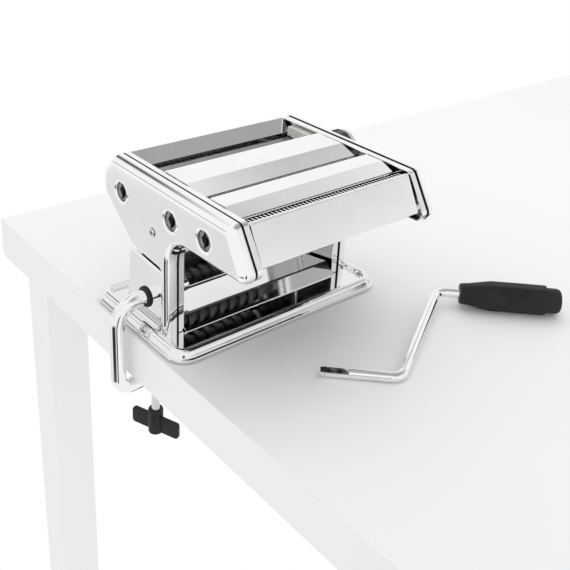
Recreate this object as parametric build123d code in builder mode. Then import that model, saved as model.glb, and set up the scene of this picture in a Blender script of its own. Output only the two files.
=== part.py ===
from build123d import *
import math
import os

# Hand-cranked pasta machine with smooth rollers, a wide cutter and a fine cutter, clamped to a table.
# Millimetres. X runs along the rollers from the crank side to the knob side, Y to the back and
# Z up from the table top, with the origin in the middle of the base's foot print.

# Side housings, built in layers outwards from the frame
rim_x = 90.0             # inner edge of a frame's rim
web_x = 94.0             # inner face of a frame's sheet
frame_x = 95.6           # outer face of a frame
seal_x = 98.2            # outer face of the dark seal, where the cover begins
cover_x = 109.0          # outer face of a cover
lower_panel_x = 106.5    # outer face of the bright panel behind a leg
sheet = 1.0              # sheet of the panels between the frames
cover_wall = 1.2
flange_wall = 3.0        # cover wall behind its pressed edge
cover_edge_r = 5.0
rim_wall = 2.0
seal_inset = 0.5         # how far the seal lies back from the cover's edge
seal_w = 1.7
panel_x = rim_x          # half length of the sheets that lie between the rims
right_end_x = 85.5       # roofs and front panel stop short of the frame on the knob side
top_z = 150.5            # level top edge
leg_front_y = -36.0
leg_rear_y = -25.5
body_rear_y = 35.0       # back of the lower body at the base

# Rods that tie the frames together; where a rod leans on a sheet it touches it from behind
rod_r = 3.2
lower_rod_r = 3.98
tie_rods = [(-4.5, 142.3), (-71.2, 142.4), (-134.3, 119.7), (64.5, 121.0)]
tie_rod_radii = [rod_r, rod_r, lower_rod_r, lower_rod_r]

# Base
base_x = 122.0
base_y = 74.0
base_corner_r = 19.0
base_top = 7.0           # plate that the body stands on
base_rim_z = 11.3        # rolled rim round the plate
base_wall = 1.5
hem_z = 1.0              # underside of the base hem, held up by the feet
foot_r = 9.0
foot_spots = (100.0, 54.0)
base_screw_x = 91.8
base_screw_ys = (-24.0, 24.0)

# Rollers: centres in Y and Z, with the crank turning the rear one of each pair
smooth_rear = (36.5, 120.5)
smooth_front = (8.5, 120.5)
wide_rear = (-42.0, 123.0)
wide_front = (-63.0, 123.0)
fine_rear = (-90.0, 125.5)
fine_front = (-111.0, 125.5)
smooth_r = 13.8
roller_x = 89.0          # half length of a roller
cutter_r = 12.0
cutter_core_r = 8.7
wide_pitch = 13.0
fine_pitch = 4.0
tooth_play = 0.4         # each side of a comb tooth in its groove
cutting_x = 86.0         # half length that is cut into fine discs
wide_cutting_x = 84.5    # half length that is cut into wide discs
cut_clearance = 0.1      # each side of a disc in its partner's groove
gap_travel = 2.4         # how far the front smooth roller opens
socket_r = 7.0           # outside of a crank socket
socket_bore_r = 4.7      # takes the 9 mm crank end
socket_end_x = -107.5
journal_r = 5.0
running = 0.06           # radial running clearance

# Crank, lying on the table in front of the machine
crank_r = 4.5
crank_tip = (-29.0, -149.5)
crank_heading = -44.4    # direction of the shaft and of the grip, degrees in plan
shaft_length = 68.5
arm_along = 39.9         # arm's run along the shaft's direction
arm_across = 133.7       # arm's run across it
grip_offset = 21.9       # bend to the grip's face
grip_r = 13.8
grip_length = 97.0

# Clamp over the table's edge
clamp_y = 1.5
clamp_z = 30.0
clamp_r = 7.0
clamp_x = -136.5         # upright run, outside the table's edge
clamp_low_z = -58.0      # lower arm
clamp_top_bend_r = 22.0
clamp_low_bend_r = 13.0
screw_x = -97.5
screw_r = 4.0
table_under_z = -45.6    # underside of the table top that the pad presses on
pad_t = 4.0

os.makedirs("parts", exist_ok=True)


def save(piece, label):
    """Label a finished piece and write its STEP file."""
    piece.part.label = label
    export_step(piece.part, f"parts/{label}.step")


def across(x, centre=(0.0, 0.0)):
    """Plane across the machine at x: local x runs along Y and local y along Z."""
    return Plane(origin=(x, centre[0], centre[1]), x_dir=(0, 1, 0), z_dir=(1, 0, 0))


def corner(place, radius):
    """Round the corner of the current sketch that lies nearest to place."""
    fillet(vertices().sort_by_distance((place[0], place[1], 0))[0], radius)


def pull(profile, length, mode=Mode.ADD):
    """Extrude a profile along +X in the current part."""
    extrude(profile, amount=length, dir=(1, 0, 0), mode=mode)


def bar(x_from, x_to, centre, radius, mode=Mode.ADD):
    """Round bar along X between two ends, in the current part."""
    with BuildSketch(across(min(x_from, x_to), centre)) as section:
        Circle(radius)
    pull(section.sketch, abs(x_to - x_from), mode)


def bent_sheet(points, x_from, x_to, thickness=sheet, side=Side.LEFT):
    """Folded sheet with its section across the machine, in the current part."""
    with BuildSketch(across(x_from)) as section:
        with BuildLine():
            Polyline(*points)
            offset(amount=thickness, side=side)
        make_face()
    pull(section.sketch, x_to - x_from)


# ---------------------------------------------------------------- side housings

rear_top = (53.5, top_z)
front_top = (-122.0, top_z)
front_low = (-144.5, 114.5)
chin = (-138.0, 106.5)
arch = (leg_front_y, 104.0)
armpit = (leg_rear_y, 69.0)
waist = (27.0, 73.0)
shoulder = (72.0, 109.0)
back_edge = (71.0, 134.0)
below_base = base_top - 8.0
wing_corners = [(rear_top, 7), (front_top, 7), (front_low, 7), (chin, 6),
                (shoulder, 12), (back_edge, 10), (arch, 26)]
cover_screw = (-15.0, 102.0)


def cover_outline(x, inset=0.0):
    """Wing over the rollers with the narrow leg that runs down to the base."""
    with BuildSketch(across(x)) as outline:
        with BuildLine():
            Polyline(
                rear_top, front_top, front_low, chin, arch,
                (leg_front_y, below_base), (leg_rear_y, below_base),
                armpit, waist, shoulder, back_edge,
                close=True,
            )
        make_face()
        for place, radius in wing_corners:
            corner(place, radius)
        corner(armpit, 3)
        corner(waist, 7)
        if inset:
            offset(amount=-inset, kind=Kind.INTERSECTION)
        with Locations((0, base_top - 50)):
            Rectangle(400, 100, mode=Mode.SUBTRACT)
    return outline.sketch


def frame_outline(x, inset, foot_z):
    """The same wing on the full-width lower body."""
    with BuildSketch(across(x)) as outline:
        with BuildLine():
            Polyline(
                rear_top, front_top, front_low, chin, arch,
                (leg_front_y, below_base), (body_rear_y + 1.2, below_base),
                waist, shoulder, back_edge,
                close=True,
            )
        make_face()
        for place, radius in wing_corners:
            corner(place, radius)
        offset(amount=-inset, kind=Kind.INTERSECTION)
        with Locations((0, foot_z - 50)):
            Rectangle(400, 100, mode=Mode.SUBTRACT)
    return outline.sketch


def side_cover(side):
    """Pressed cover, open towards the frame."""
    outer_plane = min(side * seal_x, side * cover_x)
    depth = cover_x - seal_x
    with BuildPart() as cover:
        pull(cover_outline(outer_plane), depth)
        face = cover.faces().filter_by(Axis.X).sort_by(Axis.X)[-1 if side > 0 else 0]
        rounded = face.outer_wire().edges().filter_by(lambda e: e.center().Z > base_top + 0.1)
        fillet(rounded, cover_edge_r)
        pocket_start = min(side * seal_x, side * (cover_x - cover_wall))
        pull(cover_outline(pocket_start, flange_wall), depth - cover_wall, Mode.SUBTRACT)
        if side < 0:
            inner_x = -cover_x + 4.0
            for centre in (smooth_rear, wide_rear, fine_rear):
                bar(-cover_x, inner_x, centre, 11.2)
            for centre in (smooth_rear, wide_rear, fine_rear):
                bar(-cover_x, inner_x, centre, 8.7, Mode.SUBTRACT)
            mouths = cover.edges().filter_by(GeomType.CIRCLE).filter_by(
                lambda e: abs(e.radius - 8.7) < 0.01 and abs(e.center().X + cover_x) < 0.01)
            chamfer(mouths, 1.6)
        else:
            bar(cover_x - 3, cover_x, smooth_front, 6.0, Mode.SUBTRACT)
        bar(side * (cover_x - 3), side * cover_x, cover_screw, 2.3, Mode.SUBTRACT)
    return cover


def side_frame(side):
    """Pressed frame with a rim turned inwards, bored for the bearings."""
    start = min(side * rim_x, side * frame_x)
    with BuildPart() as frame:
        pull(frame_outline(start, 0.6, base_top), frame_x - rim_x)
        pocket_start = min(side * rim_x, side * web_x)
        pocket = frame_outline(pocket_start, 0.6 + rim_wall, base_top + rim_wall)
        pull(pocket, web_x - rim_x, Mode.SUBTRACT)
        driven_hole_r = 10.0 if side < 0 else 8.0
        for centre in (smooth_rear, wide_rear, fine_rear):
            bar(side * rim_x, side * frame_x, centre, driven_hole_r, Mode.SUBTRACT)
        for centre in (wide_front, fine_front):
            bar(side * rim_x, side * frame_x, centre, 8.0, Mode.SUBTRACT)
        slot_centre = (smooth_front[0] - gap_travel / 2, smooth_front[1])
        with BuildSketch(across(start, slot_centre)) as slot:
            SlotCenterToCenter(gap_travel, 16.1)
        pull(slot.sketch, frame_x - rim_x, Mode.SUBTRACT)
        for centre in tie_rods:
            bar(side * rim_x, side * frame_x, centre, rod_r, Mode.SUBTRACT)
        if side < 0:
            bar(-rim_x, -frame_x, (clamp_y, clamp_z), clamp_r + 0.8, Mode.SUBTRACT)
        with Locations(*[Location((side * base_screw_x, y, base_top)) for y in base_screw_ys]):
            Cylinder(1.5, 10, mode=Mode.SUBTRACT)
    return frame


def side_seal(side):
    """Dark strip that fills the seam all the way round."""
    start = min(side * frame_x, side * seal_x)
    with BuildPart() as seal:
        pull(cover_outline(start, seal_inset), seal_x - frame_x)
        pull(cover_outline(start, seal_inset + seal_w), seal_x - frame_x, Mode.SUBTRACT)
    return seal


def lower_side(side):
    """Bright panel behind the leg, open towards the frame."""
    top_rear = (28.7, 69.3)
    outer = lower_panel_x
    start = min(side * frame_x, side * outer)
    with BuildPart() as panel:
        with BuildSketch(across(start)) as outline:
            with BuildLine():
                Polyline(
                    (leg_rear_y + 0.3, base_top), (body_rear_y, base_top),
                    top_rear, (leg_rear_y + 0.3, 65.5),
                    close=True,
                )
            make_face()
            corner(top_rear, 5)
        pull(outline.sketch, outer - frame_x)
        face = panel.faces().filter_by(Axis.X).sort_by(Axis.X)[-1 if side > 0 else 0]
        rounded = face.edges().filter_by(
            lambda e: e.center().Z > base_top + 1 and e.center().Y > leg_rear_y + 1)
        fillet(rounded, 2.0)
        pocket_start = min(side * frame_x, side * (outer - cover_wall))
        with BuildSketch(across(pocket_start)) as pocket:
            with BuildLine():
                Polyline(
                    (leg_rear_y + 1.8, base_top), (body_rear_y - 1.9, base_top),
                    (top_rear[0] - 2.2, top_rear[1] - 1.6), (leg_rear_y + 1.8, 64.0),
                    close=True,
                )
            make_face()
        pull(pocket.sketch, outer - cover_wall - frame_x, Mode.SUBTRACT)
        if side < 0:
            bar(-outer, -outer + 2, (clamp_y, clamp_z), 8.6, Mode.SUBTRACT)
    return panel


for side, name in [(-1, "crank_side"), (1, "knob_side")]:
    save(side_cover(side), f"{name}_cover")
    save(side_seal(side), f"{name}_seal")
    save(side_frame(side), f"{name}_frame")
    save(lower_side(side), f"{name}_lower_panel")

# ---------------------------------------------------------------- base

base_screw_spots = [(x, y) for x in (-base_screw_x, base_screw_x) for y in base_screw_ys]
with BuildPart() as base_pan:
    with BuildSketch(Plane.XY.offset(hem_z)):
        RectangleRounded(2 * base_x, 2 * base_y, base_corner_r)
    extrude(amount=3.4)
    chamfer(base_pan.faces().sort_by(Axis.Z)[-1].edges(), 0.8)
    with BuildSketch(Plane.XY.offset(hem_z)):
        RectangleRounded(2 * base_x - 4, 2 * base_y - 4, base_corner_r - 2)
    extrude(amount=base_rim_z - hem_z)
    fillet(base_pan.faces().sort_by(Axis.Z)[-1].edges(), 4.0)
    with BuildSketch(Plane.XY.offset(base_top)):
        RectangleRounded(2 * base_x - 22, 2 * base_y - 22, base_corner_r - 8)
    extrude(amount=5, mode=Mode.SUBTRACT)
    chamfer(base_pan.faces().filter_by(Axis.Z).sort_by(Axis.Z)[-1].inner_wires()[0].edges(), 1.0)
    with BuildSketch(Plane.XY.offset(hem_z)):
        RectangleRounded(2 * base_x - 9, 2 * base_y - 9, base_corner_r - 5)
    extrude(amount=base_top - base_wall - hem_z, mode=Mode.SUBTRACT)
    with Locations(*[Location((x, y, base_top)) for x, y in base_screw_spots]):
        Cylinder(1.7, 10, mode=Mode.SUBTRACT)
save(base_pan, "base_pan")

with BuildPart() as feet:
    with BuildSketch():
        with GridLocations(2 * foot_spots[0], 2 * foot_spots[1], 2, 2):
            Circle(foot_r)
    extrude(amount=base_top - base_wall)
save(feet, "rubber_feet")

with BuildPart() as base_screws:
    with BuildSketch(Plane.XY.offset(base_top - base_wall - 2)):
        with Locations(*base_screw_spots):
            Circle(3.2)
    extrude(amount=2)
    with BuildSketch(Plane.XY.offset(base_top - base_wall)):
        with Locations(*base_screw_spots):
            Circle(1.45)
    extrude(amount=base_wall + rim_wall - 0.2)
save(base_screws, "base_screws")

# ---------------------------------------------------------------- sheets between the frames

with BuildPart() as rear_panel:
    bent_sheet([(42.5, 137.0), (54.0, 149.4), (69.3, 134.0), (69.7, 110.4), (25.5, 75.0)],
               -panel_x, panel_x, side=Side.RIGHT)
save(rear_panel, "rear_panel")

with BuildPart() as rear_roof:
    bent_sheet([(3.5, 138.0), (-5.5, 151.3), (-38.5, 151.3), (-57.0, 144.8)],
               -panel_x, right_end_x, side=Side.LEFT)
save(rear_roof, "rear_roof")

with BuildPart() as front_roof:
    bent_sheet([(-72.0, 151.0), (-92.0, 151.3), (-106.0, 145.4)], -panel_x, right_end_x,
               side=Side.LEFT)
save(front_roof, "front_roof")

with BuildPart() as front_panel:
    bent_sheet([(-121.6, 147.0), (-124.5, 149.4), (-140.8, 118.0), (-136.6, 114.6)],
               -panel_x, right_end_x, side=Side.LEFT)
save(front_panel, "front_panel")

tray_floor_z = 18.5
nose_r = 8.5
tray_front_y = -39.5
with BuildPart() as pasta_tray:
    with BuildSketch(across(-panel_x)) as tray_section:
        with BuildLine():
            nose_y = tray_front_y + nose_r
            Polyline((21.6, 75.8), (27.0, tray_floor_z), (nose_y, tray_floor_z))
            CenterArc((nose_y, tray_floor_z - nose_r), nose_r, 90, 90)
            Line((tray_front_y, tray_floor_z - nose_r), (tray_front_y, base_top))
            offset(amount=sheet, side=Side.LEFT)
        make_face()
    pull(tray_section.sketch, 2 * panel_x)
save(pasta_tray, "pasta_tray")


def comb(points, half_x, pitch, width, first_x, count, solid_y, label):
    """Stripper sheet whose teeth reach into the grooves of one cutter roller."""
    with BuildPart() as piece:
        bent_sheet(points, -half_x, half_x, thickness=0.8, side=Side.LEFT)
        tip_y = points[-1][0]
        reach = abs(tip_y - solid_y) + 3
        middle_y = solid_y + math.copysign(reach / 2, tip_y - solid_y)
        with BuildSketch(Plane.XY.offset(120)) as slots:
            with Locations((0, middle_y)):
                Rectangle(2 * half_x + 1, reach)
            with Locations(*[(first_x + k * pitch, middle_y) for k in range(count)]):
                Rectangle(width, reach, mode=Mode.SUBTRACT)
        extrude(slots.sketch, amount=30, mode=Mode.SUBTRACT)
    save(piece, label)


fine_groove = fine_pitch / 2
wide_groove = wide_pitch / 2
fine_count = int(2 * cutting_x / fine_pitch)
wide_count = int(2 * wide_cutting_x / wide_pitch)
comb([(-121.55, 147.05), (-113.5, 146.2), (-107.6, 136.6)], rim_x, fine_pitch,
     fine_groove - 2 * tooth_play, -cutting_x + fine_groove / 2, fine_count, -119.0,
     "fine_comb_front")
comb([(-106.4, 143.75), (-93.8, 136.7)], web_x, fine_pitch,
     fine_groove - 2 * tooth_play, -cutting_x + 1.5 * fine_groove, fine_count, -103.0,
     "fine_comb_rear")
comb([(-72.0, 149.9), (-59.6, 134.0)], rim_x, wide_pitch,
     wide_groove - 2 * tooth_play, -wide_cutting_x + wide_groove / 2, wide_count, -69.0,
     "wide_comb_front")
comb([(-56.6, 143.2), (-45.6, 133.7)], web_x, wide_pitch,
     wide_groove - 2 * tooth_play, -wide_cutting_x + 1.5 * wide_groove, wide_count, -54.0,
     "wide_comb_rear")

for points, label in [([(52.0, 100.0), (44.4, 107.8)], "rear_scraper"),
                      ([(-8.0, 99.5), (-2.2, 106.7)], "front_scraper")]:
    with BuildPart() as scraper:
        bent_sheet(points, -web_x, web_x, thickness=1.0, side=Side.RIGHT)
    save(scraper, label)

with BuildPart() as dough_guides:
    for start in (-web_x, web_x - 9.0):
        with BuildSketch(across(start)) as wedge:
            with BuildLine():
                Polyline((7.0, 144.5), (39.0, 144.5), (39.0, 122.0), (7.0, 122.0), close=True)
            make_face()
            for centre in (smooth_rear, smooth_front, (smooth_front[0] - gap_travel, smooth_front[1])):
                with Locations(centre):
                    Circle(smooth_r + 1.2, mode=Mode.SUBTRACT)
            with Locations((22.5, 118.0)):
                Rectangle(40, 20, mode=Mode.SUBTRACT)
        pull(wedge.sketch, 9.0)
save(dough_guides, "dough_guides")

with BuildPart() as rods:
    for centre, radius in zip(tie_rods, tie_rod_radii):
        bar(-frame_x - 1.6, frame_x + 1.6, centre, rod_r)
        if radius > rod_r:
            bar(-rim_x, rim_x, centre, radius)
save(rods, "tie_rods")

with BuildPart() as posts:
    for side in (-1, 1):
        bar(side * frame_x, side * (cover_x - cover_wall), cover_screw, 4.0)
        bar(side * (cover_x - 9), side * (cover_x - cover_wall), cover_screw, 1.8, Mode.SUBTRACT)
save(posts, "cover_posts")

with BuildPart() as cover_screws:
    for side in (-1, 1):
        bar(side * (cover_x - 8), side * cover_x, cover_screw, 1.75)
        bar(side * cover_x, side * (cover_x + 1.5), cover_screw, 3.9)
    chamfer(cover_screws.edges().filter_by(GeomType.CIRCLE).filter_by(
        lambda e: abs(abs(e.center().X) - cover_x - 1.5) < 0.01), 0.7)
save(cover_screws, "cover_screws")

# ---------------------------------------------------------------- bearings


def bush(side, centre, outer_r, bore_r):
    """Bush pressed through the frame's sheet."""
    bar(side * 91.6, side * 97.0, centre, outer_r - 0.05)
    bar(side * 91.6, side * 97.0, centre, bore_r + running, Mode.SUBTRACT)


with BuildPart() as bearing_bushes:
    for centre in (smooth_rear, wide_rear, fine_rear):
        bush(-1, centre, 10.0, socket_r)
        bush(1, centre, 8.0, journal_r)
    for centre in (wide_front, fine_front):
        for side in (-1, 1):
            bush(side, centre, 8.0, journal_r)
save(bearing_bushes, "bearing_bushes")

with BuildPart() as gap_bushes:
    for side in (-1, 1):
        bush(side, smooth_front, 8.0, journal_r)
save(gap_bushes, "gap_bushes")

eccentric = gap_travel / 2
pin_r = 3.0
with BuildPart() as gap_slide:
    with BuildSketch(across(97.0, smooth_front)) as plate:
        RectangleRounded(26, 22, 4)
    pull(plate.sketch, 4.0)
    with BuildSketch(across(97.0, (smooth_front[0] + eccentric, smooth_front[1]))) as pin_slot:
        SlotCenterToCenter(2.8, 2 * (pin_r + 0.35), rotation=90)
    pull(pin_slot.sketch, 4.0, Mode.SUBTRACT)
save(gap_slide, "gap_slide")

# ---------------------------------------------------------------- rollers, sockets and gears


def socket(centre, label):
    """Hollow shaft end that takes the crank, with a cross slot for the crank's pin."""
    with BuildPart() as piece:
        bar(socket_end_x, -82.0, centre, socket_r)
        bar(socket_end_x, socket_end_x + 3.4, centre, 8.3)
        bar(socket_end_x, -82.0, centre, socket_bore_r, Mode.SUBTRACT)
        with Locations((socket_end_x + 1.5, *centre)):
            Box(3.0, 3.2, 13.4, mode=Mode.SUBTRACT)
    save(piece, label)


def ends(centre, driven):
    """Journals of a roller; a driven one is bored for its socket."""
    bar(roller_x, 96.6, centre, journal_r - 0.01)
    if driven:
        bar(-roller_x, -82.0, centre, socket_r, Mode.SUBTRACT)
    else:
        bar(-104.5, -roller_x, centre, journal_r - 0.01)


def plain_roller(centre, driven, label):
    """Smooth roller with its journals."""
    with BuildPart() as piece:
        bar(-roller_x, roller_x, centre, smooth_r)
        ends(centre, driven)
    save(piece, label)


def cutter(centre, pitch, first_x, count, facets, driven, label):
    """Roller cut into discs as wide as the grooves between them."""
    width = pitch / 2 - 2 * cut_clearance
    with BuildPart() as piece:
        with BuildSketch(across(-roller_x, centre)) as core:
            RegularPolygon(cutter_core_r, facets)
        pull(core.sketch, 2 * roller_x)
        with BuildSketch(*[across(first_x + k * pitch + cut_clearance, centre)
                           for k in range(count)]) as discs:
            RegularPolygon(cutter_r, facets)
        pull(discs.sketch, width)
        ends(centre, driven)
    save(piece, label)


def gear(centre, teeth, pitch_r, bore_r, turn, label):
    """Spur gear in the crank-side cover, with plain tapered teeth."""
    module = 2 * pitch_r / teeth
    root_r = pitch_r - 1.15 * module
    tip_r = pitch_r + 0.75 * module
    with BuildPart() as piece:
        with BuildSketch(across(-104.0, centre)) as face:
            Circle(root_r)
            with PolarLocations(0, teeth, start_angle=turn):
                Polygon((root_r - 0.5, -0.85 * module), (tip_r, -0.27 * module),
                        (tip_r, 0.27 * module), (root_r - 0.5, 0.85 * module), align=None)
            Circle(bore_r, mode=Mode.SUBTRACT)
        pull(face.sketch, 6.0)
    save(piece, label)


gear_teeth = 14
half_tooth = 180 / gear_teeth

socket(smooth_rear, "smooth_socket")
socket(wide_rear, "wide_socket")
socket(fine_rear, "fine_socket")
plain_roller(smooth_rear, True, "smooth_roller_rear")
plain_roller(smooth_front, False, "smooth_roller_front")
cutter(wide_rear, wide_pitch, -wide_cutting_x, wide_count, 16, True, "wide_cutter_rear")
cutter(wide_front, wide_pitch, -wide_cutting_x + wide_groove, wide_count, 16, False, "wide_cutter_front")
cutter(fine_rear, fine_pitch, -cutting_x, fine_count, 10, True, "fine_cutter_rear")
cutter(fine_front, fine_pitch, -cutting_x + fine_groove, fine_count, 10, False,
       "fine_cutter_front")
for name, rear, front, pitch_r in [("smooth", smooth_rear, smooth_front, 14.0),
                                   ("wide", wide_rear, wide_front, 10.5),
                                   ("fine", fine_rear, fine_front, 10.5)]:
    gear(rear, gear_teeth, pitch_r, socket_r, 0.0, f"{name}_gear_rear")
    gear(front, gear_teeth, pitch_r, journal_r - 0.01, half_tooth, f"{name}_gear_front")

# ---------------------------------------------------------------- gap regulator

with BuildPart() as knob_spindle:
    bar(97.6, 101.6, (smooth_front[0] + eccentric, smooth_front[1]), pin_r)
    bar(101.6, 104.0, smooth_front, 7.5)
    bar(104.0, 130.0, smooth_front, journal_r)
    bar(130.0, 131.5, smooth_front, 8.0)
save(knob_spindle, "knob_spindle")

knob_r = 21.0
with BuildPart() as regulator_knob:
    with BuildSketch(across(113.5, smooth_front)) as lobed:
        Circle(knob_r - 1.2)
        with PolarLocations(0, 10):
            Polygon((knob_r - 6, -3.6), (knob_r, -2.4), (knob_r, 2.4), (knob_r - 6, 3.6), align=None)
    pull(lobed.sketch, 20.0)
    bar(133.5, 139.0, smooth_front, knob_r - 1.2)
    fillet(regulator_knob.faces().sort_by(Axis.X)[-1].edges(), 2.0)
    bar(113.5, 136.0, smooth_front, journal_r + running, Mode.SUBTRACT)
    bar(118.0, 136.0, smooth_front, 9.0, Mode.SUBTRACT)
save(regulator_knob, "regulator_knob")

with BuildPart() as knob_spring:
    bar(122.1, 130.0, smooth_front, 7.6)
    bar(122.1, 130.0, smooth_front, 5.6, Mode.SUBTRACT)
save(knob_spring, "knob_spring")

with BuildPart() as dial_ring:
    bar(cover_x, cover_x + 2.0, smooth_front, 19.5)
    chamfer(dial_ring.faces().sort_by(Axis.X)[-1].edges(), 0.8)
    bar(cover_x, cover_x + 2.0, smooth_front, 6.0, Mode.SUBTRACT)
save(dial_ring, "dial_ring")

# ---------------------------------------------------------------- clamp

with BuildPart() as clamp_bar:
    with BuildLine() as route:
        FilletPolyline(
            (-64.0, clamp_y, clamp_z), (clamp_x, clamp_y, clamp_z),
            (clamp_x, clamp_y, clamp_low_z), (screw_x + 8.5, clamp_y, clamp_low_z),
            radius=(clamp_top_bend_r, clamp_low_bend_r),
        )
    with BuildSketch(Plane(origin=(-64.0, clamp_y, clamp_z), z_dir=(-1, 0, 0))) as rod_section:
        Circle(clamp_r)
    sweep(rod_section.sketch, path=route.line)
    chamfer(clamp_bar.faces().filter_by(Axis.X).edges(), 1.0)
    with Locations((screw_x, clamp_y, clamp_low_z)):
        Cylinder(screw_r + 0.08, 20, mode=Mode.SUBTRACT)
save(clamp_bar, "clamp_bar")

with BuildPart() as clamp_grommet:
    bar(-106.6, -108.6, (clamp_y, clamp_z), 9.9)
    chamfer(clamp_grommet.faces().sort_by(Axis.X)[0].edges(), 0.6)
    bar(-105.0, -106.6, (clamp_y, clamp_z), 8.55)
    bar(-105.0, -108.6, (clamp_y, clamp_z), clamp_r + 0.08, Mode.SUBTRACT)
save(clamp_grommet, "clamp_grommet")

hub_top_z = -97.0
hub_h = 27.0
with BuildPart() as clamp_screw:
    with Locations((screw_x, clamp_y, hub_top_z - 15)):
        Cylinder(screw_r, table_under_z - pad_t - hub_top_z + 15 + 2.5,
                 align=(Align.CENTER, Align.CENTER, Align.MIN))
save(clamp_screw, "clamp_screw")

with BuildPart() as clamp_pad:
    with Locations((screw_x, clamp_y, table_under_z - pad_t)):
        Cylinder(11.0, pad_t, align=(Align.CENTER, Align.CENTER, Align.MIN))
    chamfer(clamp_pad.edges().filter_by(GeomType.CIRCLE), 0.6)
    with Locations((screw_x, clamp_y, table_under_z - pad_t)):
        Cylinder(screw_r + 0.08, 5.1, mode=Mode.SUBTRACT)
save(clamp_pad, "clamp_pad")

wing_heading = -69.0
wing_length = 54.0
wing_h = 17.0
with BuildPart() as wing_grip:
    with BuildSketch(Plane(origin=(screw_x, clamp_y, hub_top_z - hub_h))):
        Circle(7.3)
    extrude(amount=hub_h)
    chamfer(wing_grip.edges().sort_by(Axis.Z)[-1], 1.0)
    wing_plane = Plane(origin=(screw_x, clamp_y, hub_top_z - hub_h + 1.5 + wing_h / 2)).rotated(
        (0, 0, wing_heading))
    with BuildSketch(Plane(origin=wing_plane.origin, x_dir=wing_plane.x_dir,
                           z_dir=wing_plane.y_dir)) as wing:
        RectangleRounded(wing_length, wing_h, 2.5)
    extrude(wing.sketch, amount=2.3, both=True)
    with Locations((screw_x, clamp_y, hub_top_z)):
        Cylinder(screw_r, 30, mode=Mode.SUBTRACT)
save(wing_grip, "wing_grip")

# ---------------------------------------------------------------- crank

along = Vector(1, 0, 0).rotate(Axis.Z, crank_heading)
aside = Vector(0, 1, 0).rotate(Axis.Z, crank_heading)
tip = Vector(crank_tip[0], crank_tip[1], crank_r)
low_bend = tip + along * shaft_length
grip_rise = grip_r - crank_r
high_bend = low_bend + along * arm_along + aside * arm_across + Vector(0, 0, grip_rise)
grip_face = high_bend + along * grip_offset
with BuildPart() as crank_rod:
    with BuildLine() as crank_route:
        FilletPolyline(tip, low_bend, high_bend, grip_face + along * (grip_length - 4.7), radius=12.0)
    with BuildSketch(Plane(origin=tip, z_dir=along)) as crank_section:
        Circle(crank_r)
    sweep(crank_section.sketch, path=crank_route.line)
    with BuildSketch(Plane(origin=tip + along * 12 + Vector(0, 0, 5.4), x_dir=along)) as flat:
        Rectangle(24, 12)
    extrude(flat.sketch, amount=3.6, both=True, mode=Mode.SUBTRACT)
    with BuildSketch(Plane(origin=tip + along * 4, z_dir=aside)) as pin_hole:
        Circle(1.4)
    extrude(pin_hole.sketch, amount=10, both=True, mode=Mode.SUBTRACT)
save(crank_rod, "crank_rod")

with BuildPart() as crank_pin:
    with BuildSketch(Plane(origin=tip + along * 4, z_dir=aside)) as pin_section:
        Circle(1.4)
    extrude(pin_section.sketch, amount=6.2, both=True)
save(crank_pin, "crank_pin")

taper_l = 30.0
barrel_l = 53.0


def grip_section(distance, radius):
    """Eight-sided section of the grip with rounded corners, square to its axis."""
    with BuildSketch(Plane(origin=grip_face + along * distance, x_dir=aside, z_dir=along)) as ring:
        RegularPolygon(radius, 8, major_radius=False, rotation=22.5)
        fillet(ring.vertices(), 0.35 * radius)
    return ring.sketch


with BuildPart() as crank_grip:
    loft([grip_section(0.0, 9.7), grip_section(taper_l, grip_r)])
    extrude(grip_section(taper_l, grip_r), amount=barrel_l, dir=along)
    loft([grip_section(taper_l + barrel_l, grip_r), grip_section(grip_length, 11.0)])
    fillet(crank_grip.faces().sort_by(Axis(origin=grip_face, direction=along))[-1].edges(), 3.0)
    with BuildSketch(Plane(origin=grip_face, z_dir=along)) as rod_hole:
        Circle(crank_r + running)
    extrude(rod_hole.sketch, amount=grip_length, mode=Mode.SUBTRACT)
    with BuildSketch(Plane(origin=grip_face + along * (grip_length - 5), z_dir=along)) as recess:
        Circle(7.4)
    extrude(recess.sketch, amount=5, mode=Mode.SUBTRACT)
save(crank_grip, "crank_grip")

with BuildPart() as grip_cap:
    with BuildSketch(Plane(origin=grip_face + along * (grip_length - 4.7), z_dir=along)) as cap:
        Circle(6.6)
    extrude(cap.sketch, amount=3.0)
save(grip_cap, "grip_cap")
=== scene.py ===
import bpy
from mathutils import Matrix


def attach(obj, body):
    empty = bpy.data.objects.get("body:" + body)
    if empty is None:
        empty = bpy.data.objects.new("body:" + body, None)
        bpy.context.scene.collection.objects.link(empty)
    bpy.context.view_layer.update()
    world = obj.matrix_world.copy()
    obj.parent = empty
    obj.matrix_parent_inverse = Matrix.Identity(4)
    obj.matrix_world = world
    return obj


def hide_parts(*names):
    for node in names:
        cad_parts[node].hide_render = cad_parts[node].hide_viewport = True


bl_info = {
    "name": "Hand-cranked pasta machine",
    "version": (1, 0, 0),
    "blender": (4, 5, 0),
    "location": "3D View > Sidebar > Pasta machine",
    "description": "Chromed pasta machine with its clamp and crank, dressed over the packed model",
    "category": "Add Mesh",
}

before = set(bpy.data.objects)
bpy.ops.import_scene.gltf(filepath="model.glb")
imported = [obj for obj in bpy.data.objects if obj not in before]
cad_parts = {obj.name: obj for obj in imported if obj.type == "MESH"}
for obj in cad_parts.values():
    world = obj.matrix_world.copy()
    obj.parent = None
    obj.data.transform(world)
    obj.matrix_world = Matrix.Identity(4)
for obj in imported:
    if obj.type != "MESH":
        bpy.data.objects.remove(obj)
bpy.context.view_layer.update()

import math

import bmesh
import bpy
from bpy.props import FloatProperty, FloatVectorProperty, PointerProperty
from mathutils import Matrix, Vector

MM = 0.001

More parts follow.
